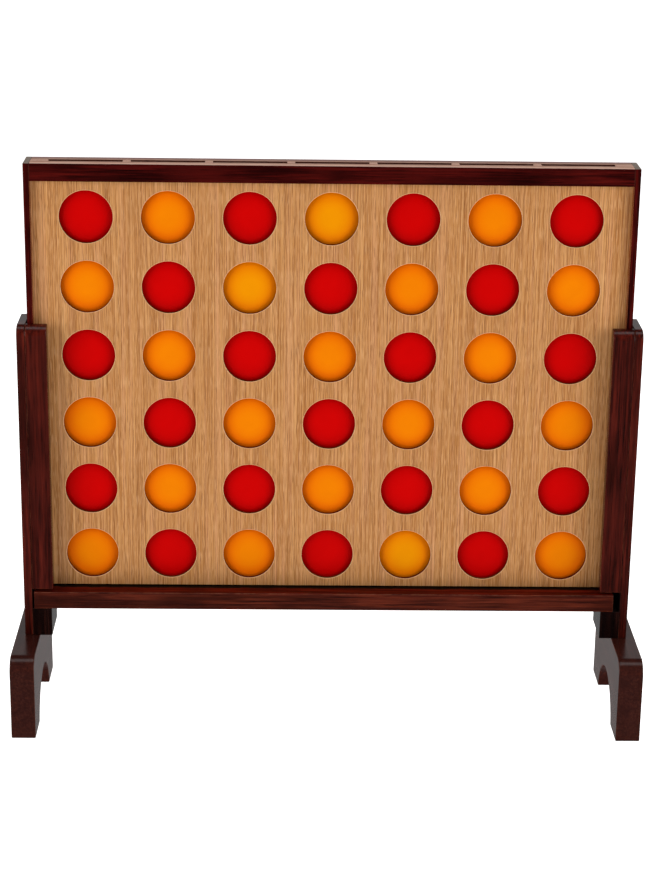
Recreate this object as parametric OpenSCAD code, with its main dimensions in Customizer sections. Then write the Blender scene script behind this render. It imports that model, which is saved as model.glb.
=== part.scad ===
// Giant four in a row: a free-standing lawn game with seven columns of six counters.
// +Z is up, the front faces -Y, and the origin is on the ground midway between the feet.

/* [Counters] */
// Diameter of a counter
counter_d = 99.6; // [92:0.2:101]
// Thickness of a counter at its middle
counter_t = 10.4; // [10:0.2:11]
// Radius of the flat middle of a counter's faces
crown_flat_r = 20; // [20:1:24]
// Radius of the curve of the domed shoulder around it
crown_curve_r = 80; // [80:5:150]
// Radius at which the dome meets the flat rim
crown_edge_r = 40; // [38:0.5:40]
// Radius of the rounding on a counter's rim
counter_round = 2; // [1:0.5:2]
// Play left between a counter and what it rests on
rest_play = 0.2; // [0.1:0.1:0.5]

/* [Grid] */
// Number of columns
columns = 7; // [5:1:7]
// Number of rows
rows = 6; // [4:1:6]
// Spacing of the columns
column_pitch = 114; // [113:1:120]
// Diameter of the holes in the panels
hole_d = 75; // [60:1:80]
// Width of the sanded bevel around each hole
hole_bevel = 0.8; // [0.4:0.1:1.5]

/* [Board] */
// Thickness of each panel
panel_t = 6; // [4:0.5:8]
// Gap between the panels, in which the counters drop
channel_t = 12; // [11.5:0.5:15]
// Width of the divider between two columns
divider_w = 11; // [8:1:11]
// Width of the spacer at each end of the board
end_spacer_w = 24.5; // [20:0.5:30]
// Thickness of the side stiles
stile_t = 8.5; // [6:0.5:12]
// Height of the top rails
rail_h = 25; // [18:0.5:26]
// How far the rails and stiles stand proud of the panels
frame_proud = 12; // [8:1:12]
// Height of the board above the centres of the top row
top_margin = 77; // [76:0.5:90]
// Distance of the board's middle plane behind the middle of the feet
board_y = 9; // [8:1:12]

/* [Legs] */
// Thickness of the cheeks
cheek_t = 12; // [10:1:16]
// Play between the board's stiles and the cheeks
board_play = 2; // [1:0.5:4]
// Width of the lips inside the cheeks
lip_w = 30.5; // [24:0.5:34]
// Width of the ledge blocks inside the cheeks
ledge_w = 28; // [24:0.5:34]
// Depth of a leg from front to rear
leg_d = 70; // [70:1:80]
// Front face of the legs
leg_front_y = -33; // [-34:1:-33]
// Height of a leg above its foot
leg_h = 467.5; // [400:0.5:500]
// Radius of the rounding at the top front of a leg
leg_round = 15; // [8:1:17]
// Width of the tenon that goes into the foot
tenon_w = 44; // [30:1:60]
// Depth of the tenon
tenon_h = 50; // [30:1:55]

/* [Feet] */
// Thickness of a foot
foot_t = 35; // [30:1:40]
// How far the middle of a foot lies outside the middle of its cheek
foot_out = 1.5; // [0:0.5:3]
// Length of a foot
foot_l = 250; // [230:5:300]
// Height of a foot
foot_h = 122; // [120:1:140]
// Radius of a foot's top corners
foot_round = 22; // [10:1:40]
// Radius of the arch under a foot
arch_r = 70; // [50:1:72]
// Depth of the arch's centre below the ground
arch_drop = 12; // [5:1:30]

/* [Release bar] */
// Length of the bar
bar_l = 844.5; // [840:0.5:849]
// Height of the bar
bar_h = 25.8; // [20:0.2:26]
// Depth of the bar from front to rear
bar_d = 64; // [50:1:66]
// How far the bar lies to the left of the middle
bar_left = 3.75; // [0:0.25:3.75]
// Height of the ledge blocks that carry the bar
ledge_h = 42; // [30:1:60]
// Height of the notches for the bar
notch_h = 30; // [28:1:36]
// Thickness of the walls that close the notches behind the bar
notch_wall_t = 5; // [2:0.5:5]
// Clearance between the bar and the board above it
bar_play = 1; // [0.5:0.5:3]

/* [Bolts] */
// Diameter of the bolts
bolt_d = 6; // [5:1:8]
// Length of the bolts under the head
bolt_l = 29; // [24:1:32]
// Diameter of the bolt heads
bolt_head_d = 16; // [12:1:20]
// Thickness of the bolt heads
bolt_head_t = 2.5; // [2:0.5:4]
// Outer diameter of the threaded inserts
insert_d = 9; // [9:0.5:11]
// Length of the threaded inserts
insert_l = 18; // [14:1:20]
// Heights of the two bolts of a leg above the ground
bolt_heights = [290, 510];

/* [Hidden] */
$fn = 96;
cut = 1;
bolt_clearance = 0.5;
thread_clearance = 0.2;
socket_af = 4;
socket_depth = 1.6;
hex_sides = 6;

slot_w = column_pitch - divider_w;
inner_half_w = (columns - 1) / 2 * column_pitch + slot_w / 2 + end_spacer_w;
board_half_w = inner_half_w + stile_t;
cheek_x = board_half_w + board_play;
cheek_outer_x = cheek_x + cheek_t;
lip_x = cheek_x - lip_w;
ledge_x = cheek_x - ledge_w;
foot_x = cheek_x + cheek_t / 2 + foot_out - foot_t / 2;

panel_y = channel_t / 2 + panel_t;
frame_y = panel_y + frame_proud;
lip_d = board_y - frame_y - leg_front_y;
bar_front_y = leg_front_y - 1;
tenon_y = leg_front_y + (leg_d - tenon_w) / 2;

ledge_top = foot_h + ledge_h;
bar_z = ledge_top + rest_play;
bar_top = bar_z + bar_h;
board_z = bar_top + bar_play;
crown_drop = crown_curve_r - sqrt(crown_curve_r ^ 2 - (crown_edge_r - crown_flat_r) ^ 2);
rim_t = counter_t - 2 * crown_drop;
rim_flat_r = counter_d / 2 - counter_round;
row_pitch = counter_d + 2 * rest_play;
first_row_z = bar_top + rest_play + counter_d / 2;
board_top = first_row_z + (rows - 1) * row_pitch + top_margin;
board_h = board_top - board_z;
leg_top = foot_h + leg_h;
notch_top = ledge_top + notch_h;

oak = "#c89664";
raw_wood = "#c9a184";
mahogany = "#3b120c";
bar_wood = "#5a1f14";
red = "#b80302";
orange = "#e57302";
steel = "#9a9a98";

column_letters = "abcdefg";
function column_x(c) = (c - (columns - 1) / 2) * column_pitch;
function row_z(r) = first_row_z + r * row_pitch;
function counter_name(c, r) = str("counter_", column_letters[c], r + 1);

// Extrudes a side view, drawn as (Y, Z), towards +X.
module along_x(length) {
  rotate([90, 0, 90])
    linear_extrude(length)
      children();
}

// Mirrors the right-hand pieces to the left.
module left() {
  mirror([1, 0, 0])
    children();
}

// A cylinder along +X at each bolt of the right-hand leg.
module at_bolts(x) {
  for (z = bolt_heights)
    translate([x, board_y, z])
      rotate([0, 90, 0])
        children();
}

// ---------- board ----------

// A panel between y and y + panel_t. The holes are bevelled on the face at bevel_side.
module panel(y, bevel_side) {
  difference() {
    translate([-inner_half_w, y, board_z])
      cube([2 * inner_half_w, panel_t, board_h]);
    for (c = [0 : columns - 1], r = [0 : rows - 1])
      translate([column_x(c), y + panel_t / 2, row_z(r)])
        rotate([90 * bevel_side, 0, 0])
          bevelled_hole();
  }
}

module bevelled_hole() {
  cylinder(d = hole_d, h = panel_t + 2 * cut, center = true);
  translate([0, 0, panel_t / 2 - hole_bevel])
    cylinder(d1 = hole_d, d2 = hole_d + 4 * hole_bevel, h = 2 * hole_bevel);
}

module front_panel() {
  color(oak)
    panel(board_y - panel_y, 1);
}

module rear_panel() {
  color(oak)
    panel(board_y + channel_t / 2, -1);
}

module top_rail(y) {
  color(mahogany)
    translate([-inner_half_w, y, board_top - rail_h])
      cube([2 * inner_half_w, frame_proud, rail_h]);
}

module front_top_rail() top_rail(board_y - frame_y);

module rear_top_rail() top_rail(board_y + panel_y);

module right_stile() {
  color(mahogany)
    difference() {
      translate([inner_half_w, board_y - frame_y, board_z])
        cube([stile_t, 2 * frame_y, board_h]);
      at_bolts(inner_half_w - cut)
        cylinder(d = insert_d, h = stile_t + 2 * cut);
    }
}

module left_stile() left() right_stile();

// A strip that fills the channel between the panels, centred on x.
module spacer(x, width) {
  translate([x - width / 2, board_y - channel_t / 2, board_z])
    cube([width, channel_t, board_h]);
}

module column_dividers() {
  color(raw_wood)
    for (c = [0 : columns - 2])
      spacer(column_x(c) + column_pitch / 2, divider_w);
}

module right_end_spacer() {
  difference() {
    spacer(inner_half_w - end_spacer_w / 2, end_spacer_w);
    at_bolts(board_half_w - insert_l)
      cylinder(d = insert_d, h = insert_l);
  }
}

module end_spacers() {
  color(raw_wood) {
    right_end_spacer();
    left() right_end_spacer();
  }
}

// ---------- legs ----------

// Side view of a leg above its foot: a tall board with its top front corner rounded.
module leg_profile() {
  translate([leg_front_y, foot_h])
    square([leg_d, leg_h - leg_round]);
  translate([leg_front_y + leg_round, foot_h])
    square([leg_d - leg_round, leg_h]);
  translate([leg_front_y + leg_round, leg_top - leg_round])
    circle(r = leg_round);
}

module right_cheek() {
  color(mahogany)
    difference() {
      translate([cheek_x, 0, 0])
        along_x(cheek_t) {
          leg_profile();
          translate([tenon_y, foot_h - tenon_h])
            square([tenon_w, tenon_h + cut]);
        }
      at_bolts(cheek_x - cut)
        cylinder(d = bolt_d + bolt_clearance, h = cheek_t + 2 * cut);
    }
}

module left_cheek() left() right_cheek();

module right_lip() {
  color(mahogany)
    translate([lip_x, 0, 0])
      along_x(lip_w)
        intersection() {
          leg_profile();
          translate([leg_front_y, notch_top])
            square([lip_d, leg_top - notch_top]);
        }
}

module left_lip() left() right_lip();

module right_ledge() {
  translate([ledge_x, leg_front_y, foot_h])
    cube([ledge_w, leg_d, ledge_h]);
}

module right_notch_wall() {
  translate([ledge_x, leg_front_y + leg_d - notch_wall_t, bar_z])
    cube([ledge_w, notch_wall_t, bar_h]);
}

module bar_ledges() {
  color(mahogany) {
    right_ledge();
    right_notch_wall();
    left() {
      right_ledge();
      right_notch_wall();
    }
  }
}

// ---------- feet ----------

// Side view of a foot: a block with round top corners and an arch underneath.
module foot_profile() {
  difference() {
    union() {
      translate([-foot_l / 2, 0])
        square([foot_l, foot_h - foot_round]);
      translate([-foot_l / 2 + foot_round, 0])
        square([foot_l - 2 * foot_round, foot_h]);
      for (side = [-1, 1])
        translate([side * (foot_l / 2 - foot_round), foot_h - foot_round])
          circle(r = foot_round);
    }
    translate([0, -arch_drop])
      circle(r = arch_r);
  }
}

module right_foot() {
  color(mahogany)
    difference() {
      translate([foot_x, 0, 0])
        along_x(foot_t)
          foot_profile();
      translate([cheek_x, tenon_y, foot_h - tenon_h])
        cube([cheek_t, tenon_w, tenon_h + cut]);
    }
}

module left_foot() left() right_foot();

// ---------- release bar ----------

module release_bar() {
  color(bar_wood)
    translate([-bar_left - bar_l / 2, bar_front_y, bar_z])
      cube([bar_l, bar_d, bar_h]);
}

// ---------- bolts and inserts ----------

module right_bolts() {
  at_bolts(cheek_outer_x - bolt_l)
    cylinder(d = bolt_d, h = bolt_l);
  at_bolts(cheek_outer_x)
    difference() {
      cylinder(d = bolt_head_d, h = bolt_head_t);
      translate([0, 0, bolt_head_t - socket_depth])
        cylinder(r = socket_af / 2 / cos(180 / hex_sides), h = socket_depth + cut, $fn = hex_sides);
    }
}

module frame_bolts() {
  color(steel) {
    right_bolts();
    left() right_bolts();
  }
}

module right_inserts() {
  at_bolts(board_half_w - insert_l)
    difference() {
      cylinder(d = insert_d, h = insert_l);
      translate([0, 0, -cut])
        cylinder(d = bolt_d + thread_clearance, h = insert_l + 2 * cut);
    }
}

module threaded_inserts() {
  color(steel) {
    right_inserts();
    left() right_inserts();
  }
}

// ---------- counters ----------

// Half section of a counter, drawn as (radius, height): a disc with domed faces and a flat rim.
module counter_profile() {
  square([crown_flat_r, counter_t]);
  intersection() {
    square([rim_flat_r, counter_t]);
    translate([crown_flat_r, counter_t - crown_curve_r])
      circle(r = crown_curve_r);
    translate([crown_flat_r, crown_curve_r])
      circle(r = crown_curve_r);
  }
  translate([0, crown_drop])
    square([rim_flat_r, rim_t]);
  translate([rim_flat_r, crown_drop + counter_round])
    square([counter_round, rim_t - 2 * counter_round]);
  for (z = [crown_drop + counter_round, crown_drop + rim_t - counter_round])
    translate([rim_flat_r, z])
      circle(r = counter_round);
}

// The counter of column c and row r. Neighbours differ in colour, like the squares of a chessboard.
module counter(c, r) {
  color((c + r) % 2 == 0 ? orange : red)
    translate([column_x(c), board_y + counter_t / 2, row_z(r)])
      rotate([90, 0, 0])
        rotate_extrude()
          counter_profile();
}

front_panel();
rear_panel();
front_top_rail();
rear_top_rail();
left_stile();
right_stile();
column_dividers();
end_spacers();
left_cheek();
right_cheek();
left_lip();
right_lip();
bar_ledges();
left_foot();
right_foot();
release_bar();
frame_bolts();
threaded_inserts();
for (c = [0 : columns - 1], r = [0 : rows - 1])
  counter(c, r);
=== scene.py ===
"""Giant four in a row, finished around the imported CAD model."""
import math

import bmesh
import bpy
from mathutils import Matrix, Vector


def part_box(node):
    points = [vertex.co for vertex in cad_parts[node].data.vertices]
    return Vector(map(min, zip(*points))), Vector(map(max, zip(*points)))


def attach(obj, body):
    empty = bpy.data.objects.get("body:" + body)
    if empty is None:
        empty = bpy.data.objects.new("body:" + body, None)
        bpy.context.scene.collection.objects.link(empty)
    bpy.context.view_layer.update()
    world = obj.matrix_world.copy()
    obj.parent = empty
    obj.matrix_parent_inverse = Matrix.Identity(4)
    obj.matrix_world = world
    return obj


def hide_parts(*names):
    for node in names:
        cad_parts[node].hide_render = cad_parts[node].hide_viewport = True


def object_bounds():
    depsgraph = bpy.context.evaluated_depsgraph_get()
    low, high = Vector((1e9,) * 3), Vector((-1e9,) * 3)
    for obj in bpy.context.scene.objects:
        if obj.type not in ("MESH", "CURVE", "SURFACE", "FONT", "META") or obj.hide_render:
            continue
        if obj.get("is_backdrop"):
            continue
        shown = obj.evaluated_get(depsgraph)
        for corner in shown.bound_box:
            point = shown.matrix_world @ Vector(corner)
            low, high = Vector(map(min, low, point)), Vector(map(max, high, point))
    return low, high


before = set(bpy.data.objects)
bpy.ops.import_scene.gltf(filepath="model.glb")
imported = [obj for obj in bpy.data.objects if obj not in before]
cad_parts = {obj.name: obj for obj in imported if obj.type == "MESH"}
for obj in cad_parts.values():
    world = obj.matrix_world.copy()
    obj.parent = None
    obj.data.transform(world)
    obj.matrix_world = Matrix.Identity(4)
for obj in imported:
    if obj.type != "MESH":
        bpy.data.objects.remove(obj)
cad_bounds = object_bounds()

MM = 0.001

# ---------- names and sizes ----------

# Board
COLUMN_LETTERS = "abcdefg"
ROWS = 6
HOLE_RADIUS = 37.5 * MM
HOLE_BEVEL = 0.8 * MM

# Roundings along the edges of each kind of piece
WOOD_EDGE = 0.7 * MM
LEG_EDGE = 1.4 * MM
FOOT_EDGE = 1.4 * MM
BAR_EDGE = 1.3 * MM
STRIP_EDGE = 0.4 * MM
CORNER_SHARE = 1.15  # an outline's corner radius, as a share of the edge rounding

# Legs and feet, seen from the side
LEG_TOP_ROUND = 15 * MM
FOOT_TOP_ROUND = 22 * MM
ARCH_RADIUS = 70 * MM
ARCH_DROP = 12 * MM

# Counters: a flat crown, a dome that curves down from it, and a flat rim with rounded edges
CROWN_RING = 12 * MM  # radius of a ring of points on the crown
CROWN_FLAT = 20 * MM  # radius of the crown
CROWN_EDGE = 40 * MM  # radius where the dome meets the rim
CROWN_CURVE = 80 * MM  # radius of the dome's curve
CREASE_WIDTH = 0.6 * MM  # where the shading turns from the dome to the rim
COUNTER_ROUND = 2 * MM
PARTING_HALF = 0.25 * MM
PARTING_DEPTH = 0.12 * MM
RIM_SHADE_FROM = 16 * MM  # radius where the painted shade towards the rim starts
RIM_SHADE_FULL = 32 * MM

# Bolts
BOLT_HEIGHTS = (290 * MM, 510 * MM)
BOLT_SHANK = 3 * MM
BOLT_TIP = 0.6 * MM
BOLT_TIP_SHARE = 0.8  # the tip's radius, as a share of the shank's
BOLT_REACH = 14 * MM  # how deep a bolt goes into its insert
HEAD_FOOT = 0.3 * MM  # height of the slope under the head's widest part
HEAD_FOOT_INSET = 0.2 * MM
HEAD_DOME = ((0.97, 0.4), (0.86, 0.7), (0.66, 0.92))  # shares of the head's radius and height
HEAD_FLAT_SHARE = 0.45
SOCKET_FLATS = 4 * MM
SOCKET_DEPTH = 1.6 * MM

# Fineness of the meshes
EDGE_STEPS = 3
CORNER_STEPS = 4
LEG_TOP_STEPS = 16
FOOT_TOP_STEPS = 20
ARCH_STEPS = 56
BORDER_STEPS = 12  # along each eighth of the border round a sight hole
COUNTER_SEGMENTS = 96
CROWN_STEPS = 8
ROUND_STEPS = 4
BOLT_SEGMENTS = 48
LEAST_LEAN = 0.3  # keeps the inset of a sharp corner short
SAME_POINT = 1e-6  # metres, below which points are merged
ON_EDGE = 1e-7  # metres, within which a point counts as on the panel's edge

# Shading
SHARP_ANGLE = math.radians(40)
FACING = 0.9  # how much of a face's normal points along an axis, where the face looks that way
WEAR = "wear"
# the attribute that carries the counters' painted shade towards their rims
RIM_SHADE = "rim"
VARNISH_IOR = 1.34
THIN_VARNISH_IOR = 1.2
WORN_VARNISH_IOR = 1.08
VENEER_RELIEF = 0.06 * MM
BARE_WOOD_RELIEF = 0.08 * MM
VARNISH_RELIEF = 0.12 * MM
PLASTIC_RELIEF = 0.03 * MM
PLATING_RELIEF = 0.02 * MM


# ---------- shader helpers ----------

def add_node(tree, kind, inputs=None, **settings):
    """Adds a node, sets its properties, and fills or links its sockets."""
    made = tree.nodes.new(kind)
    for key, value in settings.items():
        setattr(made, key, value)
    for key, value in (inputs or {}).items():
        socket = made.inputs[key]
        if isinstance(value, bpy.types.NodeSocket):
            tree.links.new(value, socket)
        else:
            socket.default_value = value
    return made


def rgb(red, green, blue):
    """A colour in linear light from its 0 to 255 display values."""
    def linear(value):
        value = value / 255
        return value / 12.92 if value <= 0.04045 else ((value + 0.055) / 1.055) ** 2.4
    return (linear(red), linear(green), linear(blue), 1)


def mixed(tree, factor, first, second, blend="MIX"):
    """Blends two colours."""
    made = add_node(tree, "ShaderNodeMix", data_type="RGBA", blend_type=blend)
    for index, value in ((0, factor), (6, first), (7, second)):
        if isinstance(value, bpy.types.NodeSocket):
            tree.links.new(value, made.inputs[index])
        else:
            made.inputs[index].default_value = value
    return made.outputs[2]


def ramp(tree, factor, stops):
    """A colour ramp through (position, colour) stops."""
    made = add_node(tree, "ShaderNodeValToRGB", {"Fac": factor})
    elements = made.color_ramp.elements
    while len(elements) < len(stops):
        elements.new(0.5)
    for element, (position, colour) in zip(elements, stops):
        element.position = position
        element.color = colour
    return made.outputs["Color"]


def remap(tree, value, from_low, from_high, to_low, to_high):
    """Maps a value from one range to another, clamped."""
    made = add_node(tree, "ShaderNodeMapRange", {
        "Value": value,
        "From Min": from_low,
        "From Max": from_high,
        "To Min": to_low,
        "To Max": to_high,
    })
    return made.outputs["Result"]


def math_node(tree, operation, first, second):
    """A math node of two values."""
    return add_node(tree, "ShaderNodeMath", {0: first, 1: second}, operation=operation).outputs[0]


def placed(tree, scale, offset):
    """Object coordinates, scaled and moved. The offset gives each piece a grain of its own."""
    coords = add_node(tree, "ShaderNodeTexCoord").outputs["Object"]
    mapping = add_node(tree, "ShaderNodeMapping", {
        "Vector": coords,
        "Location": offset,
        "Scale": scale,
    })
    return mapping.outputs["Vector"]


def noise(tree, scale, offset, detail=3.0, roughness=0.5, distortion=0.0):
    """Noise over the object, with its own scale along each axis, in features per metre."""
    made = add_node(tree, "ShaderNodeTexNoise", {
        "Vector": placed(tree, scale, offset),
        "Scale": 1.0,
        "Detail": detail,
        "Roughness": roughness,
        "Distortion": distortion,
    })
    return made.outputs[0]


def grain_scale(axis, across, along):
    """A scale for grain that runs along the given axis."""
    return tuple(along if axis == "XYZ"[i] else across for i in range(3))


def start_material(name):
    """A material with only its output and a shader."""
    material = bpy.data.materials.new(name)
    material.use_nodes = True
    tree = material.node_tree
    tree.nodes.clear()
    shader = add_node(tree, "ShaderNodeBsdfPrincipled")
    add_node(tree, "ShaderNodeOutputMaterial", {"Surface": shader.outputs[0]})
    return material, tree, shader


def set_bump(tree, shader, height, distance, strength=1.0):
    """Drives the shader's normal from a height."""
    bump = add_node(tree, "ShaderNodeBump", {
        "Height": height,
        "Distance": distance,
        "Strength": strength,
    })
    tree.links.new(bump.outputs["Normal"], shader.inputs["Normal"])


def wear_mask(tree, low, high, offset):
    """Rounded edges, broken up by noise: 1 where the finish is worn thin."""
    edge = add_node(tree, "ShaderNodeAttribute", attribute_name=WEAR).outputs["Fac"]
    patches = noise(tree, (60, 60, 60), offset, detail=4.0, roughness=0.6)
    return math_node(tree, "MULTIPLY", edge, remap(tree, patches, low, high, 0.0, 1.0))


# ---------- materials ----------

def oak_veneer(name, offset):
    """Lacquered straight-grained oak veneer, with the grain upright."""
    material, tree, shader = start_material(name)
    bands = noise(tree, grain_scale("Z", 14, 0.5), offset, detail=3.0)
    streaks = noise(tree, grain_scale("Z", 420, 4), offset, detail=4.0, roughness=0.6)
    fine = noise(tree, grain_scale("Z", 1100, 6), offset, detail=2.0, roughness=0.5)
    flecks = noise(tree, grain_scale("Z", 1000, 45), (offset[0] + 3, 0, 6), detail=1.0)
    pink = noise(tree, grain_scale("Z", 110, 2.4), (offset[0] + 5, 0, 2), detail=4.0)
    pores = noise(tree, grain_scale("Z", 1500, 40), (offset[0] + 9, 0, 1), detail=2.0)

    base = ramp(tree, streaks, (
        (0.34, rgb(176, 114, 60)),
        (0.46, rgb(194, 136, 80)),
        (0.56, rgb(202, 145, 88)),
        (0.68, rgb(214, 160, 104)),
    ))
    base = mixed(tree, remap(tree, bands, 0.38, 0.66, 0.0, 0.4), base, rgb(186, 128, 74))
    base = mixed(tree, remap(tree, pink, 0.52, 0.68, 0.0, 0.5), base, rgb(212, 154, 110))
    base = mixed(tree, remap(tree, fine, 0.48, 0.62, 0.0, 0.75), base, rgb(150, 92, 46))
    base = mixed(tree, remap(tree, flecks, 0.52, 0.64, 0.0, 0.42), base, rgb(226, 176, 124))
    pore_mask = remap(tree, pores, 0.6, 0.68, 0.0, 0.7)
    base = mixed(tree, pore_mask, base, rgb(122, 72, 40))
    tree.links.new(base, shader.inputs["Base Color"])

    gloss = remap(tree, streaks, 0.3, 0.7, 0.5, 0.38)
    tree.links.new(gloss, shader.inputs["Roughness"])
    shader.inputs["Specular IOR Level"].default_value = 0.1
    height = math_node(tree, "SUBTRACT", math_node(tree, "MULTIPLY", fine, 0.5), pore_mask)
    set_bump(tree, shader, height, VENEER_RELIEF)
    return material


def raw_wood(name, tone, dark, axis, offset, plies=0.0, specular=0.25):
    """Bare sanded wood. Plies above zero adds the layers of plywood, seen on its edges."""
    material, tree, shader = start_material(name)
    streaks = noise(tree, grain_scale(axis, 420, 12), offset, detail=4.0, roughness=0.6)
    clouds = noise(tree, (30, 30, 30), offset, detail=3.0)
    base = ramp(tree, streaks, ((0.3, dark), (0.7, tone)))
    base = mixed(tree, remap(tree, clouds, 0.35, 0.7, 0.0, 0.35), base, dark)
    height = streaks
    if plies > 0:
        layers = add_node(tree, "ShaderNodeTexWave", {
            "Vector": placed(tree, (0.05, 1, 0.05), offset),
            "Scale": plies,
            "Distortion": 0.6,
            "Detail": 2.0,
            "Detail Scale": 3.0,
        }, wave_type="BANDS", bands_direction="Y")
        shade = remap(tree, layers.outputs["Fac"], 0.35, 0.65, 0.0, 0.55)
        base = mixed(tree, shade, base, dark, "MULTIPLY")
        height = math_node(tree, "ADD", streaks, shade)
    tree.links.new(base, shader.inputs["Base Color"])
    tree.links.new(remap(tree, clouds, 0.3, 0.7, 0.62, 0.8), shader.inputs["Roughness"])
    shader.inputs["Specular IOR Level"].default_value = specular
    set_bump(tree, shader, height, BARE_WOOD_RELIEF)
    return material


def stained_wood(name, axis, offset, tones, bare, wear, ior=VARNISH_IOR, shade=None):
    """Dark stained hardwood under gloss varnish, with the grain along an axis.

    The tones run from dark to light, and worn edges go some way towards the bare colour. A shade
    is a function of the node tree that returns how much of the wood lies in painted shadow, from 0 to 1.
    """
    material, tree, shader = start_material(name)
    dark, tone, light = tones
    figure = noise(tree, grain_scale(axis, 26, 3.2), offset, detail=3.0, distortion=1.4)
    streaks = noise(tree, grain_scale(axis, 260, 9), offset, detail=5.0, roughness=0.62)
    pores = noise(tree, grain_scale(axis, 1100, 30), (offset[2], offset[0], 3), detail=2.0)
    blotch = noise(tree, (9, 9, 9), (offset[1], 4, offset[0]), detail=2.0)

    base = ramp(tree, streaks, ((0.36, dark), (0.5, tone), (0.64, light)))
    base = mixed(tree, remap(tree, figure, 0.48, 0.64, 0.0, 0.75), base, dark)
    base = mixed(tree, remap(tree, blotch, 0.45, 0.7, 0.0, 0.4), base, light)
    pore_mask = remap(tree, pores, 0.6, 0.7, 0.0, 0.7)
    base = mixed(tree, pore_mask, base, (dark[0] * 0.4, dark[1] * 0.4, dark[2] * 0.4, 1))
    worn = math_node(tree, "MULTIPLY", wear_mask(tree, 0.42, 0.75, offset), wear)
    base = mixed(tree, worn, base, bare)
    if shade:
        # painted shadow, wherever the shade function puts it
        base = mixed(tree, shade(tree), base, BOARD_SHADOW_TONE)
    tree.links.new(base, shader.inputs["Base Color"])

    tree.links.new(remap(tree, streaks, 0.3, 0.7, 0.27, 0.21), shader.inputs["Roughness"])
    shader.inputs["IOR"].default_value = ior
    ripple = noise(tree, grain_scale(axis, 60, 6), offset, detail=2.0)
    height = math_node(tree, "SUBTRACT", ripple, math_node(tree, "MULTIPLY", pore_mask, 0.1))
    set_bump(tree, shader, height, VARNISH_RELIEF, 0.35)
    return material


def moulded_plastic(name, tone, deep, rim_shade_tone, offset):
    """Satin moulded plastic, with a painted shade that deepens its tone towards the rim, a faint flow
    pattern and wear.
    """
    material, tree, shader = start_material(name)
    flow = noise(tree, (16, 16, 16), offset, detail=3.0, distortion=1.2)
    specks = noise(tree, (900, 900, 900), offset, detail=2.0)
    base = mixed(tree, remap(tree, flow, 0.35, 0.7, 0.0, 0.35), tone, deep)
    base = mixed(tree, remap(tree, specks, 0.62, 0.75, 0.0, 0.2), base, deep)
    outward = add_node(tree, "ShaderNodeAttribute", attribute_name=RIM_SHADE).outputs["Fac"]
    # painted shade: a deeper tone towards the rim
    base = mixed(tree, outward, base, rim_shade_tone)
    worn = math_node(tree, "MULTIPLY", wear_mask(tree, 0.5, 0.8, offset), 0.25)
    pale = tuple(min(1.0, c * 1.2 + 0.02) for c in tone[:3]) + (1,)
    base = mixed(tree, worn, base, pale)
    tree.links.new(base, shader.inputs["Base Color"])
    scuffs = noise(tree, (120, 120, 900), offset, detail=3.0, roughness=0.7)
    tree.links.new(remap(tree, scuffs, 0.4, 0.75, 0.34, 0.5), shader.inputs["Roughness"])
    shader.inputs["Specular IOR Level"].default_value = 0.02
    set_bump(tree, shader, specks, PLASTIC_RELIEF, 0.5)
    return material


def zinc_plated(name):
    """Zinc-plated steel, with a slightly cloudy plating."""
    material, tree, shader = start_material(name)
    clouds = noise(tree, (260, 260, 260), (3, 1, 2), detail=4.0, roughness=0.6)
    base = ramp(tree, clouds, ((0.3, rgb(176, 176, 170)), (0.7, rgb(206, 206, 202))))
    tree.links.new(base, shader.inputs["Base Color"])
    tree.links.new(remap(tree, clouds, 0.3, 0.7, 0.22, 0.42), shader.inputs["Roughness"])
    shader.inputs["Metallic"].default_value = 1.0
    scratches = noise(tree, (2400, 300, 300), (1, 5, 2), detail=2.0)
    set_bump(tree, shader, scratches, PLATING_RELIEF, 0.5)
    return material


# ---------- mesh helpers ----------

def finished(name, mesh, body, nodes, materials):
    """Makes an object of a mesh, with clean shading, hangs it on its body and hides the CAD nodes that it
    stands for.
    """
    for material in materials:
        mesh.materials.append(material)
    mesh.shade_smooth()
    mesh.set_sharp_from_angle(angle=SHARP_ANGLE)
    piece = bpy.data.objects.new(name, mesh)
    bpy.context.scene.collection.objects.link(piece)
    normals = piece.modifiers.new("even_normals", "WEIGHTED_NORMAL")
    normals.keep_sharp = True
    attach(piece, body)
    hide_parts(*nodes)
    return piece


def mesh_of(name, points, faces, wear, material_of=None):
    """A mesh from points and faces, with its normals outward.

    Each point has a wear value, and each face may have the index of its material.
    """
    mesh = bpy.data.meshes.new(name)
    mesh.from_pydata(points, [], faces)
    if material_of:
        for polygon, index in zip(mesh.polygons, material_of):
            polygon.material_index = index
    attribute = mesh.attributes.new(WEAR, "FLOAT", "POINT")
    for item, value in zip(attribute.data, wear):
        item.value = value
    shape = bmesh.new()
    shape.from_mesh(mesh)
    bmesh.ops.remove_doubles(shape, verts=shape.verts, dist=SAME_POINT)
    bmesh.ops.recalc_face_normals(shape, faces=shape.faces)
    shape.to_mesh(mesh)
    shape.free()
    mesh.validate()
    return mesh


def facing(polygon, axis, sign=1):
    """Whether a face looks along an axis (0 for X, 1 for Y, 2 for Z), or with sign -1 against it."""
    return polygon.normal[axis] * sign > FACING


def band_faces(start, count, rings):
    """Faces between rings of count points, which follow each other from a start."""
    faces = []
    for ring in range(rings - 1):
        a = start + ring * count
        for i in range(count):
            j = (i + 1) % count
            faces.append((a + i, a + j, a + count + j, a + count + i))
    return faces


def tipped_faces(count, rings):
    """Faces of a solid whose points are a tip, rings of count points and another tip."""
    last = 1 + (rings - 1) * count
    faces = band_faces(1, count, rings)
    for i in range(count):
        j = (i + 1) % count
        faces.append((0, 1 + j, 1 + i))
        faces.append((last + i, last + j, last + count))
    return faces


def arc(centre, radius, start, end, steps):
    """Outline points along an arc between two angles in degrees, with no wear."""
    points = []
    for i in range(steps + 1):
        angle = math.radians(start + (end - start) * i / steps)
        points.append((centre[0] + radius * math.cos(angle), centre[1] + radius * math.sin(angle), 0.0))
    return points


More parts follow.
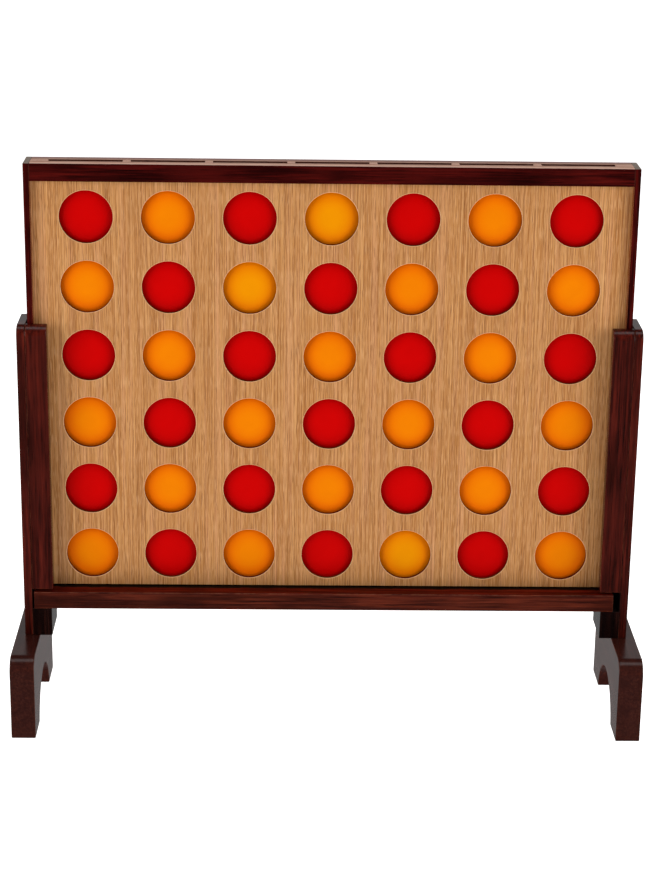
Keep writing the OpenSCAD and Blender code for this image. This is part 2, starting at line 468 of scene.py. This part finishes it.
def rounded_outline(corners):
    """An outline of (u, v, wear) points from (u, v, radius) corners, in anticlockwise order."""
    outline = []
    count = len(corners)
    for i, (u, v, radius) in enumerate(corners):
        here = Vector((u, v))
        before = (Vector(corners[i - 1][:2]) - here).normalized()
        after = (Vector(corners[(i + 1) % count][:2]) - here).normalized()
        if radius <= 0:
            outline.append((u, v, 0.0))
            continue
        half = before.angle(after) / 2
        middle = here + (before + after).normalized() * (radius / math.sin(half))
        first = here + before * (radius / math.tan(half)) - middle
        last = here + after * (radius / math.tan(half)) - middle
        sweep = first.angle_signed(last)
        for k in range(CORNER_STEPS + 1):
            part = k / CORNER_STEPS
            spoke = Matrix.Rotation(-sweep * part, 2) @ first
            point = middle + spoke
            outline.append((point.x, point.y, math.sin(math.pi * part)))
    return outline


def inset_outline(outline, distance):
    """The outline moved inward by a distance."""
    moved = []
    count = len(outline)
    for i, (u, v, _) in enumerate(outline):
        here = Vector((u, v))
        into = (here - Vector(outline[i - 1][:2])).normalized()
        out = (Vector(outline[(i + 1) % count][:2]) - here).normalized()
        inward = Vector((-into.y, into.x)) + Vector((-out.y, out.x))
        inward.normalize()
        lean = max(LEAST_LEAN, inward.dot(Vector((-into.y, into.x))))
        moved.append(here + inward * (distance / lean))
    return moved


def prism_parts(outline, low, high, edge, place):
    """Points, faces and wear of an outline extruded from low to high, with rounded rims.

    Each ring is the outline at an (inset, height, angle round the rim).
    """
    rings = []
    for k in range(EDGE_STEPS + 1):
        angle = math.pi / 2 * k / EDGE_STEPS
        rings.append((edge * (1 - math.sin(angle)), low + edge * (1 - math.cos(angle)), angle))
    rings += [(inset, low + high - height, angle) for inset, height, angle in reversed(rings)]
    points = []
    wear = []
    for inset, height, angle in rings:
        rim = math.sin(2 * angle)
        reached = 0.0 if angle == 0 else 1.0
        for moved, (_, _, corner) in zip(inset_outline(outline, inset), outline):
            points.append(place(moved.x, moved.y, height))
            wear.append(max(rim, corner * reached))
    count = len(outline)
    last = (len(rings) - 1) * count
    faces = [tuple(range(count - 1, -1, -1))]
    faces += band_faces(0, count, len(rings))
    faces.append(tuple(range(last, last + count)))
    return points, faces, wear


def join_parts(parts):
    """One list of points, faces and wear from several."""
    points, faces, wear = [], [], []
    for part_points, part_faces, part_wear in parts:
        shift = len(points)
        points += part_points
        faces += [tuple(i + shift for i in face) for face in part_faces]
        wear += part_wear
    return points, faces, wear


def along_x(u, v, w):
    """A point of a prism that is extruded along X, with its outline in Y and Z."""
    return (w, u, v)


def along_z(u, v, w):
    """A point of a prism that is extruded along Z, with its outline in X and Y."""
    return (u, v, w)


def box_parts(low, high, edge, axis):
    """A box with all its edges rounded, extruded along X or Z."""
    place, first, second, third = {
        "X": (along_x, 1, 2, 0),
        "Z": (along_z, 0, 1, 2),
    }[axis]
    corner = edge * CORNER_SHARE
    outline = rounded_outline((
        (low[first], low[second], corner),
        (high[first], low[second], corner),
        (high[first], high[second], corner),
        (low[first], high[second], corner),
    ))
    return prism_parts(outline, low[third], high[third], edge, place)


def add_box(name, node, body, materials, edge, axis):
    """A rounded box in the place of a CAD node. A second material goes on its top face."""
    low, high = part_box(node)
    mesh = mesh_of(name, *box_parts(low, high, edge, axis))
    for polygon in mesh.polygons:
        polygon.material_index = 1 if facing(polygon, 2) else 0
    return finished(name, mesh, body, [node], materials)


# ---------- board ----------

def counter_centre(column, row):
    """Where the middle of a counter is at rest, as (x, z)."""
    low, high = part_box(f"counter_{COLUMN_LETTERS[column]}{row + 1}")
    return ((low[0] + high[0]) / 2, (low[2] + high[2]) / 2)


COLUMN_X = [counter_centre(c, 0)[0] for c in range(len(COLUMN_LETTERS))]
ROW_Z = [counter_centre(0, r)[1] for r in range(ROWS)]
SHOWN_FACE, HOLE_RIM, HOLE_WALL, OUTER_EDGE, HIDDEN_FACE = range(5)


def cell_border(left, right, bottom, top, centre):
    """Points round a cell, anticlockwise from the middle of its right side.

    Each stretch between a corner and the middle of a side has the same number of points.
    """
    corners = [(right, centre[1]), (right, top), (centre[0], top), (left, top),
               (left, centre[1]), (left, bottom), (centre[0], bottom), (right, bottom)]
    points = []
    for i, start in enumerate(corners):
        end = corners[(i + 1) % len(corners)]
        for k in range(BORDER_STEPS):
            part = k / BORDER_STEPS
            points.append((start[0] + (end[0] - start[0]) * part, start[1] + (end[1] - start[1]) * part))
    return points


def drilled_panel(name, node, show_low_side, materials):
    """A panel with its sight holes, each with a sanded edge on the face that shows.

    That face is the one at low Y, or else the one at high Y. The materials are for the shown
    face, the holes' rims and walls, the panel's outer edge and the hidden face, in this order.
    """
    low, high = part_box(node)
    show, hide = (low[1], high[1]) if show_low_side else (high[1], low[1])
    inward = 1 if show_low_side else -1
    x_edges = [low[0]] + [(a + b) / 2 for a, b in zip(COLUMN_X, COLUMN_X[1:])] + [high[0]]
    z_edges = [low[2]] + [(a + b) / 2 for a, b in zip(ROW_Z, ROW_Z[1:])] + [high[2]]

    # The rings of a hole from the shown face inward, as (radius, y, wear)
    levels = [(HOLE_RADIUS + HOLE_BEVEL, show, 0.0)]
    for k in range(1, EDGE_STEPS + 1):
        angle = math.pi / 2 * k / EDGE_STEPS
        radius = HOLE_RADIUS + HOLE_BEVEL * (1 - math.sin(angle))
        depth = HOLE_BEVEL * (1 - math.cos(angle))
        levels.append((radius, show + inward * depth, math.sin(2 * angle)))
    levels.append((HOLE_RADIUS, hide, 0.0))

    points, faces, wear, kinds = [], [], [], []
    for c, x in enumerate(COLUMN_X):
        for r, z in enumerate(ROW_Z):
            border = cell_border(x_edges[c], x_edges[c + 1], z_edges[r], z_edges[r + 1], (x, z))
            count = len(border)
            start = len(points)
            points += [(u, show, v) for u, v in border]
            points += [(u, hide, v) for u, v in border]
            wear += [0.0] * (2 * count)
            for radius, y, value in levels:
                for i in range(count):
                    angle = 2 * math.pi * i / count
                    points.append((x + radius * math.cos(angle), y, z + radius * math.sin(angle)))
                    wear.append(value)
            for i in range(count):
                j = (i + 1) % count
                ring = start + 2 * count
                faces.append((start + i, start + j, ring + j, ring + i))
                kinds.append(SHOWN_FACE)
                for level in range(len(levels) - 1):
                    a = ring + level * count
                    faces.append((a + i, a + j, a + count + j, a + count + i))
                    kinds.append(HOLE_RIM if level < EDGE_STEPS else HOLE_WALL)
                last = ring + (len(levels) - 1) * count
                faces.append((last + i, last + j, start + count + j, start + count + i))
                kinds.append(HIDDEN_FACE)
                if on_rim(border[i], border[j], x_edges, z_edges):
                    faces.append((start + i, start + count + i, start + count + j, start + j))
                    kinds.append(OUTER_EDGE)
    mesh = mesh_of(name, points, faces, wear, kinds)
    return finished(name, mesh, "frame", [node], materials)


def on_rim(first, second, x_edges, z_edges):
    """Whether a stretch of a cell's border lies on the panel's own edge."""
    for axis, edges in ((0, x_edges), (1, z_edges)):
        for edge in (edges[0], edges[-1]):
            if abs(first[axis] - edge) < ON_EDGE and abs(second[axis] - edge) < ON_EDGE:
                return True
    return False


def add_strips(name, node, material, centres, width):
    """Upright strips of bare wood for one CAD node, at the given X positions."""
    low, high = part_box(node)
    parts = []
    for x in centres:
        left, right = x - width / 2, x + width / 2
        parts.append(box_parts((left, low[1], low[2]), (right, high[1], high[2]), STRIP_EDGE, "Z"))
    mesh = mesh_of(name, *join_parts(parts))
    return finished(name, mesh, "frame", [node], [material])


def add_stile(side, inward, material, top_material, reflection_material):
    """A stile, with a painted sheen on its top and a painted reflection of the oak on the side towards the
    panels.
    """
    stile = add_box(f"{side}_stile_board", f"{side}_stile", "frame",
                    [material, top_material, reflection_material], WOOD_EDGE, "Z")
    for polygon in stile.data.polygons:
        if facing(polygon, 0, inward):
            polygon.material_index = 2


# ---------- legs and feet ----------

def leg_outline(low, high):
    """Side view of a leg board, with its top front corner rounded."""
    corner = LEG_EDGE * CORNER_SHARE
    outline = rounded_outline((
        (low[1], low[2], corner),
        (high[1], low[2], corner),
        (high[1], high[2], corner),
        (low[1], high[2], 0),
    ))[:-1]
    centre = (low[1] + LEG_TOP_ROUND, high[2] - LEG_TOP_ROUND)
    return outline + arc(centre, LEG_TOP_ROUND, 90, 180, LEG_TOP_STEPS)


def foot_outline(low, high):
    """Side view of a foot: round top corners and an arch between two pads."""
    corner = FOOT_EDGE * CORNER_SHARE
    middle = (low[1] + high[1]) / 2
    half = math.degrees(math.asin(ARCH_DROP / ARCH_RADIUS))
    arch = arc((middle, low[2] - ARCH_DROP), ARCH_RADIUS, 180 - half, half, ARCH_STEPS)
    corners = [(low[1], low[2], corner), (arch[0][0], low[2], corner)]
    corners += arch[1:-1]
    corners += [(arch[-1][0], low[2], corner), (high[1], low[2], corner)]
    shoulder = high[2] - FOOT_TOP_ROUND
    outline = rounded_outline(corners + [(high[1], shoulder, 0), (low[1], shoulder, 0)])[:-2]
    outline += arc((high[1] - FOOT_TOP_ROUND, shoulder), FOOT_TOP_ROUND, 0, 90, FOOT_TOP_STEPS)
    outline += arc((low[1] + FOOT_TOP_ROUND, shoulder), FOOT_TOP_ROUND, 90, 180, FOOT_TOP_STEPS)
    return outline


def add_cut_board(name, node, outline, edge, materials, inward=0):
    """A board of a leg, cut to its side view.

    With two materials, the second goes on the face that looks inward, which is 1 or -1 along X.
    """
    low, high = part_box(node)
    mesh = mesh_of(name, *prism_parts(outline, low[0], high[0], edge, along_x))
    for polygon in mesh.polygons:
        polygon.material_index = 1 if facing(polygon, 0, inward) else 0
    return finished(name, mesh, "frame", [node], materials)


def add_cheek(side, inward, material, shade_material):
    """A cheek down to its foot, with near-black painted shade on the face that the lip, ledge and notch
    meet.
    """
    node = f"{side}_cheek"
    low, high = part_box(node)
    foot_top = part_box(f"{side}_foot")[1][2]
    outline = leg_outline((low[0], low[1], foot_top), high)
    return add_cut_board(f"{node}_board", node, outline, LEG_EDGE, [material, shade_material], inward)


def add_lip(side, material):
    """The strip inside a cheek, in front of the board."""
    node = f"{side}_lip"
    return add_cut_board(f"{node}_strip", node, leg_outline(*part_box(node)), LEG_EDGE, [material])


def add_foot(side, material):
    """A foot, solid where the cheek's tenon goes into it."""
    node = f"{side}_foot"
    return add_cut_board(f"{node}_block", node, foot_outline(*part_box(node)), FOOT_EDGE, [material])


def levels_of(node, axis):
    """The different positions of a CAD node's points along an axis, in order."""
    return sorted({round(v.co[axis], 6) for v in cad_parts[node].data.vertices})


def add_ledges(material, shade_material, rear_material):
    """The blocks that carry the bar, and the walls that close the notches behind it. The walls are
    near-black painted shade, apart from their backs.
    """
    x_levels = levels_of("bar_ledges", 0)
    front, wall_front, rear = levels_of("bar_ledges", 1)
    foot_top, ledge_top, wall_low, wall_top = levels_of("bar_ledges", 2)
    ledges, walls = [], []
    for left, right in (x_levels[:2], x_levels[2:]):
        ledges.append(box_parts((left, front, foot_top), (right, rear, ledge_top), WOOD_EDGE, "Z"))
        walls.append(box_parts((left, wall_front, wall_low), (right, rear, wall_top), WOOD_EDGE, "Z"))
    ledge_faces = sum(len(faces) for _, faces, _ in ledges)
    points, faces, wear = join_parts(ledges + walls)
    kinds = [0 if i < ledge_faces else 1 for i in range(len(faces))]
    mesh = mesh_of("ledge_blocks", points, faces, wear, kinds)
    for polygon in mesh.polygons:
        if facing(polygon, 1):
            polygon.material_index = 2
    return finished("ledge_blocks", mesh, "frame", ["bar_ledges"],
                    [material, shade_material, rear_material])


# ---------- counters ----------

def turned_parts(profile, place):
    """A solid turned from (radius, height, wear) points, whose first and last are on the axis."""
    points = [place(0, 0, profile[0][1])]
    wear = [profile[0][2]]
    for radius, height, value in profile[1:-1]:
        for i in range(COUNTER_SEGMENTS):
            angle = 2 * math.pi * i / COUNTER_SEGMENTS
            points.append(place(radius * math.cos(angle), radius * math.sin(angle), height))
            wear.append(value)
    points.append(place(0, 0, profile[-1][1]))
    wear.append(profile[-1][2])
    return points, tipped_faces(COUNTER_SEGMENTS, len(profile) - 2), wear


def counter_profile(radius, thickness):
    """Half section of a counter: domed faces, a flat rounded rim and a faint parting line.

    It runs from the axis in front to the axis behind, as (radius, height, wear) points.
    """
    half = thickness / 2
    flat = radius - COUNTER_ROUND
    side = [(0.0, half, 0.0), (CROWN_RING, half, 0.0), (CROWN_FLAT, half, 0.0)]
    drop = 0.0
    for k in range(1, CROWN_STEPS + 1):
        out = (CROWN_EDGE - CROWN_FLAT) * k / CROWN_STEPS
        drop = CROWN_CURVE - math.sqrt(CROWN_CURVE ** 2 - out ** 2)
        side.append((CROWN_FLAT + out, half - drop, 0.0))
    rim = half - drop
    side.append((CROWN_EDGE + CREASE_WIDTH, rim, 0.0))
    for k in range(ROUND_STEPS + 1):
        angle = math.pi / 2 * k / ROUND_STEPS
        side.append((flat + COUNTER_ROUND * math.sin(angle),
                     rim - COUNTER_ROUND * (1 - math.cos(angle)), math.sin(2 * angle)))
    side.append((radius, PARTING_HALF, 0.0))
    side.append((radius - PARTING_DEPTH, 0.0, 0.0))
    other = [(r, -h, w) for r, h, w in reversed(side[:-1])]
    return side + other


def add_counter(node, material):
    """A counter, with a value for each point that says how far out it lies, which sets the painted shade
    towards its rim.
    """
    low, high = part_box(node)
    middle = [(a + b) / 2 for a, b in zip(low, high)]
    profile = counter_profile((high[0] - low[0]) / 2, high[1] - low[1])

    def place(u, v, w):
        return (middle[0] + u, middle[1] - w, middle[2] + v)

    mesh = mesh_of(f"{node}_disc", *turned_parts(profile, place))
    rim = mesh.attributes.new(RIM_SHADE, "FLOAT", "POINT")
    for item, vertex in zip(rim.data, mesh.vertices):
        reach = math.hypot(vertex.co.x - middle[0], vertex.co.z - middle[2])
        outward = (reach - RIM_SHADE_FROM) / (RIM_SHADE_FULL - RIM_SHADE_FROM)
        item.value = min(1.0, max(0.0, outward))
    return finished(f"{node}_disc", mesh, node, [node], [material])


# ---------- bolts ----------

def hexagon_radius(angle, flats):
    """Distance from the centre to a hexagon's side in a direction."""
    turned = (angle + math.pi / 6) % (math.pi / 3) - math.pi / 6
    return flats / 2 / math.cos(turned)


def bolt_parts(side, y, z, inner_x, outer_x, head_x, head_radius):
    """A button-head bolt with a hexagon socket, pointing away from the middle."""
    dome = head_x - outer_x
    rings = [
        (BOLT_SHANK * BOLT_TIP_SHARE, inner_x),
        (BOLT_SHANK, inner_x + BOLT_TIP),
        (BOLT_SHANK, outer_x),
        (head_radius - HEAD_FOOT_INSET, outer_x),
        (head_radius, outer_x + HEAD_FOOT),
    ]
    rings += [(head_radius * across, outer_x + dome * up) for across, up in HEAD_DOME]
    rings.append((head_radius * HEAD_FLAT_SHARE, head_x))
    round_rings = len(rings)
    rings += [(SOCKET_FLATS, head_x), (SOCKET_FLATS, head_x - SOCKET_DEPTH)]
    points = [(side * inner_x, y, z)]
    for number, (size, x) in enumerate(rings):
        for i in range(BOLT_SEGMENTS):
            angle = 2 * math.pi * i / BOLT_SEGMENTS
            radius = size if number < round_rings else hexagon_radius(angle, size)
            points.append((side * x, y + radius * math.cos(angle), z + radius * math.sin(angle)))
    points.append((side * (head_x - SOCKET_DEPTH), y, z))
    return points, tipped_faces(BOLT_SEGMENTS, len(rings)), [0.0] * len(points)


def add_bolts(material):
    """The four bolts, whose heads stand on the cheeks' outer faces."""
    low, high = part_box("frame_bolts")
    y = (low[1] + high[1]) / 2
    head_radius = (high[1] - low[1]) / 2
    inner_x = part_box("threaded_inserts")[1][0] - BOLT_REACH
    cheek_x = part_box("right_cheek")[1][0]
    parts = []
    for side in (-1, 1):
        for z in BOLT_HEIGHTS:
            parts.append(bolt_parts(side, y, z, inner_x, cheek_x, high[0], head_radius))
    mesh = mesh_of("bolt_set", *join_parts(parts))
    return finished("bolt_set", mesh, "frame", ["frame_bolts"], [material])


# ---------- build ----------

RAIL_TONES = (rgb(28, 1, 1), rgb(54, 4, 3), rgb(84, 13, 9))
# orange-brown painted reflection of the oak in the stiles' glossy inner sides
STILE_SIDE_REFLECTION_TONES = (rgb(100, 36, 14), rgb(134, 56, 24), rgb(160, 76, 36))
LEG_TONES = (rgb(36, 5, 2), rgb(66, 14, 7), rgb(90, 24, 13))
# the legs' stain darkened as painted shade, for the ledges under the bar
LEDGE_SHADED_TONES = (rgb(9, 2, 2), rgb(22, 6, 4), rgb(36, 12, 8))
FOOT_TONES = (rgb(48, 18, 14), rgb(58, 24, 18), rgb(68, 30, 22))
BAR_TONES = (rgb(44, 10, 4), rgb(76, 24, 11), rgb(102, 37, 19))
BAR_TOP_TONES = (rgb(56, 6, 2), rgb(84, 12, 4), rgb(108, 24, 10))
BARE = rgb(130, 74, 50)
BAR_BARE = rgb(150, 86, 60)
# A painted shadow: a near-black band on the bar's top along the board's front edge
BOARD_SHADOW_TONE = rgb(6, 2, 2)
BOARD_SHADOW_FRONT = 11 * MM  # how far the painted shadow on the bar's top starts in front of the board's front
BOARD_SHADOW_FRONT_FADE = 3 * MM
BOARD_SHADOW_REAR = 20 * MM  # how far it ends behind the board's front
BOARD_SHADOW_REAR_FADE = 18 * MM
BOARD_SHADOW_WANDER = 1.5 * MM
AMBER_COUNTERS = {"counter_c5", "counter_e1", "counter_d6"}
INWARD = {"left": 1, "right": -1}  # the way along X from a side to the middle


def rail_stain(name, axis, offset):
    """The finish of the rails and stiles, which is thin and dark."""
    return stained_wood(name, axis, offset, RAIL_TONES, BARE, 0.35, THIN_VARNISH_IOR)


def leg_stain(name, offset):
    """The finish of the upright pieces of the legs."""
    return stained_wood(name, "Z", offset, LEG_TONES, BARE, 0.4)


def bar_painted_shadow(tree):
    """The painted shadow along the bar's top where it passes under the board's front, from 0 to 1."""
    coords = add_node(tree, "ShaderNodeTexCoord").outputs["Object"]
    depth = add_node(tree, "ShaderNodeSeparateXYZ", {"Vector": coords}).outputs["Y"]
    wander = noise(tree, (60, 60, 60), (4, 4, 4))
    wander = remap(tree, wander, 0.3, 0.7, -BOARD_SHADOW_WANDER, BOARD_SHADOW_WANDER)
    depth = math_node(tree, "ADD", depth, wander)
    board_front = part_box("front_panel")[0][1]
    front = board_front - BOARD_SHADOW_FRONT
    rear = board_front + BOARD_SHADOW_REAR
    starts = remap(tree, depth, front, front + BOARD_SHADOW_FRONT_FADE, 0.0, 1.0)
    ends = remap(tree, depth, rear - BOARD_SHADOW_REAR_FADE, rear, 1.0, 0.0)
    return math_node(tree, "MULTIPLY", starts, ends)


def build_panels():
    """The two drilled panels, which differ in the place of their grain only."""
    others = [
        raw_wood("oak_hole_rim", rgb(232, 188, 142), rgb(208, 154, 106), "Y", (3, 8, 1), specular=0.02),
        raw_wood("oak_hole_wall", rgb(112, 46, 18), rgb(80, 28, 10), "Y", (7, 2, 4), specular=0.0),
        raw_wood("panel_ply_edge", rgb(224, 186, 166), rgb(184, 136, 116), "X", (1, 6, 5), plies=160.0),
        # The faces inside the channel are bare wood darkened in part as painted shade of the channel.
        raw_wood("panel_channel_side", rgb(92, 44, 28), rgb(58, 24, 16), "Z", (2, 7, 3)),
    ]
    for side, show_low_side, offset in (("front", True, (0, 0, 0)), ("rear", False, (17, 0, 4))):
        veneer = oak_veneer(f"oak_veneer_{side}", offset)
        drilled_panel(f"{side}_panel_veneered", f"{side}_panel", show_low_side, [veneer] + others)


def build_rails():
    """The top rails, bare on top."""
    front_top = raw_wood("front_rail_bare_top", rgb(240, 199, 178), rgb(204, 157, 138), "X", (8, 5, 2))
    rear_top = raw_wood("rear_rail_bare_top", rgb(168, 136, 128), rgb(136, 104, 96), "X", (3, 2, 6))
    for side, offset, top in (("front", (1, 4, 7), front_top), ("rear", (6, 2, 11), rear_top)):
        stain = rail_stain(f"mahogany_{side}_rail", "X", offset)
        add_box(f"{side}_rail", f"{side}_top_rail", "frame", [stain, top], WOOD_EDGE, "X")


def build_stiles():
    """The stiles at the board's ends."""
    # painted sheen: the grey that the varnished stile tops reflect, laid on as a matte colour
    top = raw_wood("stile_top_painted_sheen", rgb(158, 144, 132), rgb(120, 106, 96), "Z", (6, 1, 3))
    # painted reflection: the oak glowing in the stiles' inner sides, laid on as a lighter stain
    side_reflection = stained_wood("mahogany_stile_side_painted_reflection", "Z", (7, 3, 6), STILE_SIDE_REFLECTION_TONES, BARE, 0.35)
    for side, offset in (("left", (3, 9, 5)), ("right", (12, 5, 2))):
        add_stile(side, INWARD[side], rail_stain(f"mahogany_{side}_stile", "Z", offset), top, side_reflection)


def build_strips():
    """The strips between the panels: the dividers of the columns and the spacers at the ends."""
    bare = raw_wood("strip_bare_wood", rgb(226, 186, 166), rgb(190, 144, 124), "Z", (4, 3, 9))
    centres = [(a + b) / 2 for a, b in zip(COLUMN_X, COLUMN_X[1:])]
    divider_width = 2 * (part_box("column_dividers")[1][0] - centres[-1])
    add_strips("divider_strips", "column_dividers", bare, centres, divider_width)
    half_pitch = COLUMN_X[-1] - centres[-1]
    inner_x = COLUMN_X[-1] + half_pitch - divider_width / 2
    outer_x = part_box("end_spacers")[1][0]
    spacer_width = outer_x - inner_x
    spacer_x = outer_x - spacer_width / 2
    add_strips("end_spacer_strips", "end_spacers", bare, [-spacer_x, spacer_x], spacer_width)


def build_legs():
    """The cheeks, lips, feet and ledges. Each side's grain is at its own place in the noise."""
    # painted shade: near black, for the dark gap between the bar's ends and the cheeks
    notch_shade = raw_wood("notch_painted_shade", rgb(16, 7, 5), rgb(7, 3, 2), "Z", (5, 5, 2))
    for side, shift in (("left", 0), ("right", 4)):
        add_cheek(side, INWARD[side], leg_stain(f"mahogany_{side}_cheek", (2 + shift, 7, 3)), notch_shade)
        add_lip(side, leg_stain(f"mahogany_{side}_lip", (5 + shift, 1, 8)))
        add_foot(side, stained_wood(f"mahogany_{side}_foot", "Y", (9 + shift, 3, 6), FOOT_TONES, BARE, 0.4))
    # painted shade: the ledges darkened to stand for the shadow under the bar
    dark = stained_wood("mahogany_ledges_painted_shade", "Z", (4, 12, 1), LEDGE_SHADED_TONES, BARE, 0.2)
    add_ledges(dark, notch_shade, leg_stain("mahogany_ledge_backs", (4, 12, 1)))


def build_release_bar():
    """The bar that holds the counters up, with a worn top that carries a painted shadow under the board."""
    offset = (2, 5, 9)
    sides = stained_wood("red_brown_bar", "X", offset, BAR_TONES, BAR_BARE, 0.5)
    top = stained_wood("red_brown_bar_top", "X", offset, BAR_TOP_TONES, BAR_BARE, 0.5,
                       WORN_VARNISH_IOR, bar_painted_shadow)
    add_box("release_bar_board", "release_bar", "release_bar", [sides, top],
            BAR_EDGE, "X")


def build_fasteners():
    """The bolts, and plating on the inserts' own CAD solids."""
    add_bolts(zinc_plated("zinc_plating"))
    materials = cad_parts["threaded_inserts"].data.materials
    materials.clear()
    materials.append(zinc_plated("zinc_plating_inserts"))


def build_counters():
    """The counters, red and orange by turns. A few of the orange ones are more amber."""
    red = moulded_plastic("red_moulded", rgb(204, 1, 1), rgb(190, 0, 1), rgb(190, 0, 1), (3, 1, 4))
    orange = moulded_plastic("orange_moulded", rgb(242, 130, 0), rgb(233, 117, 0), rgb(236, 107, 0),
                             (6, 2, 8))
    amber = moulded_plastic("amber_moulded", rgb(239, 147, 0), rgb(231, 136, 0), rgb(233, 121, 0),
                            (1, 9, 5))
    for column, letter in enumerate(COLUMN_LETTERS):
        for row in range(ROWS):
            node = f"counter_{letter}{row + 1}"
            if (column + row) % 2 == 1:
                add_counter(node, red)
            else:
                add_counter(node, amber if node in AMBER_COUNTERS else orange)


# ---------- studio ----------

# Floor and backdrop. The camera sees the floor brighter than it lights the object.
FLOOR_HALF = 30.0
FLOOR_GLOW = 0.66
FLOOR_GLOW_SEEN = 1.1
FRONT_LEVEL = 0.03
BACKDROP_LEVEL = 0.52

# Softboxes: sizes, places of those on the right and overhead, aims and powers
SIDE_SIZE = (1.6, 2.2)
TOP_SIZE = (2.4, 1.0)
FRONT_PLACE = (2.4, -1.9, 1.3)
REAR_PLACE = (2.2, 2.4, 1.4)
TOP_PLACE = (0, -0.2, 2.6)
SIDE_AIM = (0, 0, 0.45)
TOP_AIM = (0, 0, 0.4)
FRONT_POWER = 42
REAR_POWER = 18
TOP_POWER = 16

# Camera, solved from the centres of the holes in the photograph
LENS = 92.26
SENSOR = 36.0
CAMERA_PLACE = (-0.0641, -3.0715, 1.4368)
CAMERA_PITCH = 0.320665
CAMERA_YAW = 0.019148
CAMERA_ROLL = 0.013617


def add_floor():
    """A pale floor, wide enough to fill the picture. It glows a little, and more to the camera."""
    mesh = bpy.data.meshes.new("studio_floor")
    corners = [(FLOOR_HALF * x, FLOOR_HALF * y, 0) for x, y in ((-1, -1), (1, -1), (1, 1), (-1, 1))]
    mesh.from_pydata(corners, [], [(0, 1, 2, 3)])
    material, tree, shader = start_material("studio_floor_paper")
    shade = noise(tree, (0.6, 0.6, 0.6), (0, 0, 0), detail=2.0)
    tone = mixed(tree, remap(tree, shade, 0.3, 0.7, 0.0, 1.0), (0.86, 0.86, 0.86, 1), (0.9, 0.9, 0.9, 1))
    tree.links.new(tone, shader.inputs["Base Color"])
    shader.inputs["Roughness"].default_value = 0.9
    shader.inputs["Specular IOR Level"].default_value = 0.1
    shader.inputs["Emission Color"].default_value = (1, 1, 1, 1)
    seen = add_node(tree, "ShaderNodeLightPath").outputs["Is Camera Ray"]
    glow = remap(tree, seen, 0.0, 1.0, FLOOR_GLOW, FLOOR_GLOW_SEEN)
    tree.links.new(glow, shader.inputs["Emission Strength"])
    mesh.materials.append(material)
    floor = bpy.data.objects.new("studio_floor", mesh)
    floor.visible_glossy = False
    bpy.context.scene.collection.objects.link(floor)
    floor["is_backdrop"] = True


def add_light(name, place, target, size, power, seen_in_gloss=True):
    """A soft rectangular light at a place, aimed at a target."""
    light = bpy.data.lights.new(name, "AREA")
    light.shape = "RECTANGLE"
    light.size, light.size_y = size
    light.energy = power
    holder = bpy.data.objects.new(name, light)
    holder.location = place
    aim = Vector(target) - Vector(place)
    holder.rotation_euler = aim.to_track_quat("-Z", "Y").to_euler()
    holder.visible_glossy = seen_in_gloss
    bpy.context.scene.collection.objects.link(holder)


def add_lights():
    """Softboxes at both sides and overhead, and weaker ones behind that don't show in the gloss."""
    for label, side in (("left", -1), ("right", 1)):
        x, y, z = FRONT_PLACE
        add_light(f"{label}_softbox", (side * x, y, z), SIDE_AIM, SIDE_SIZE, FRONT_POWER)
    add_light("top_softbox", TOP_PLACE, TOP_AIM, TOP_SIZE, TOP_POWER)
    for label, side in (("left", -1), ("right", 1)):
        x, y, z = REAR_PLACE
        add_light(f"{label}_rear_softbox", (side * x, y, z), SIDE_AIM, SIDE_SIZE, REAR_POWER, False)


def add_world():
    """A pale backdrop behind, dark in front and overhead. The camera itself sees white all round."""
    world = bpy.data.worlds.new("studio")
    bpy.context.scene.world = world
    world.use_nodes = True
    tree = world.node_tree
    tree.nodes.clear()
    # A direction's Y runs from -1 in front to 1 behind, and its Z from -1 below to 1 overhead.
    direction = add_node(tree, "ShaderNodeTexCoord").outputs["Generated"]
    parts = add_node(tree, "ShaderNodeSeparateXYZ", {"Vector": direction})
    behind = remap(tree, parts.outputs["Y"], -0.1, 0.5, 0.0, 1.0)
    low = remap(tree, parts.outputs["Z"], 0.46, 0.66, 1.0, 0.0)
    raised = remap(tree, parts.outputs["Z"], -0.05, 0.15, 0.55, 1.0)
    backdrop = math_node(tree, "MULTIPLY", behind, math_node(tree, "MULTIPLY", low, raised))
    level = remap(tree, backdrop, 0.0, 1.0, FRONT_LEVEL, BACKDROP_LEVEL)
    seen = add_node(tree, "ShaderNodeLightPath").outputs["Is Camera Ray"]
    level = math_node(tree, "MAXIMUM", level, seen)
    background = add_node(tree, "ShaderNodeBackground", {"Color": (1, 1, 1, 1), "Strength": level})
    add_node(tree, "ShaderNodeOutputWorld", {"Surface": background.outputs[0]})


def add_camera():
    """The photograph's viewpoint: in front, a little above and a little to the left."""
    forward = Vector((math.sin(CAMERA_YAW) * math.cos(CAMERA_PITCH),
                      math.cos(CAMERA_YAW) * math.cos(CAMERA_PITCH),
                      -math.sin(CAMERA_PITCH)))
    level_right = Vector((math.cos(CAMERA_YAW), -math.sin(CAMERA_YAW), 0))
    level_up = level_right.cross(forward)
    right = math.cos(CAMERA_ROLL) * level_right + math.sin(CAMERA_ROLL) * level_up
    up = -math.sin(CAMERA_ROLL) * level_right + math.cos(CAMERA_ROLL) * level_up
    data = bpy.data.cameras.new("camera")
    data.lens = LENS
    data.sensor_width = SENSOR
    data.sensor_fit = "AUTO"
    camera = bpy.data.objects.new("camera", data)
    turn = Matrix((right, up, -forward)).transposed().to_4x4()
    camera.matrix_world = Matrix.Translation(CAMERA_PLACE) @ turn
    bpy.context.scene.collection.objects.link(camera)
    bpy.context.scene.camera = camera


build_panels()
build_rails()
build_stiles()
build_strips()
build_legs()
build_release_bar()
build_fasteners()
build_counters()
add_floor()
add_world()
add_lights()
add_camera()
bpy.context.scene.view_settings.view_transform = "Standard"

visual_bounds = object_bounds()
for bounds in (cad_bounds, visual_bounds):
    str([list(corner) for corner in bounds]) + "\n"
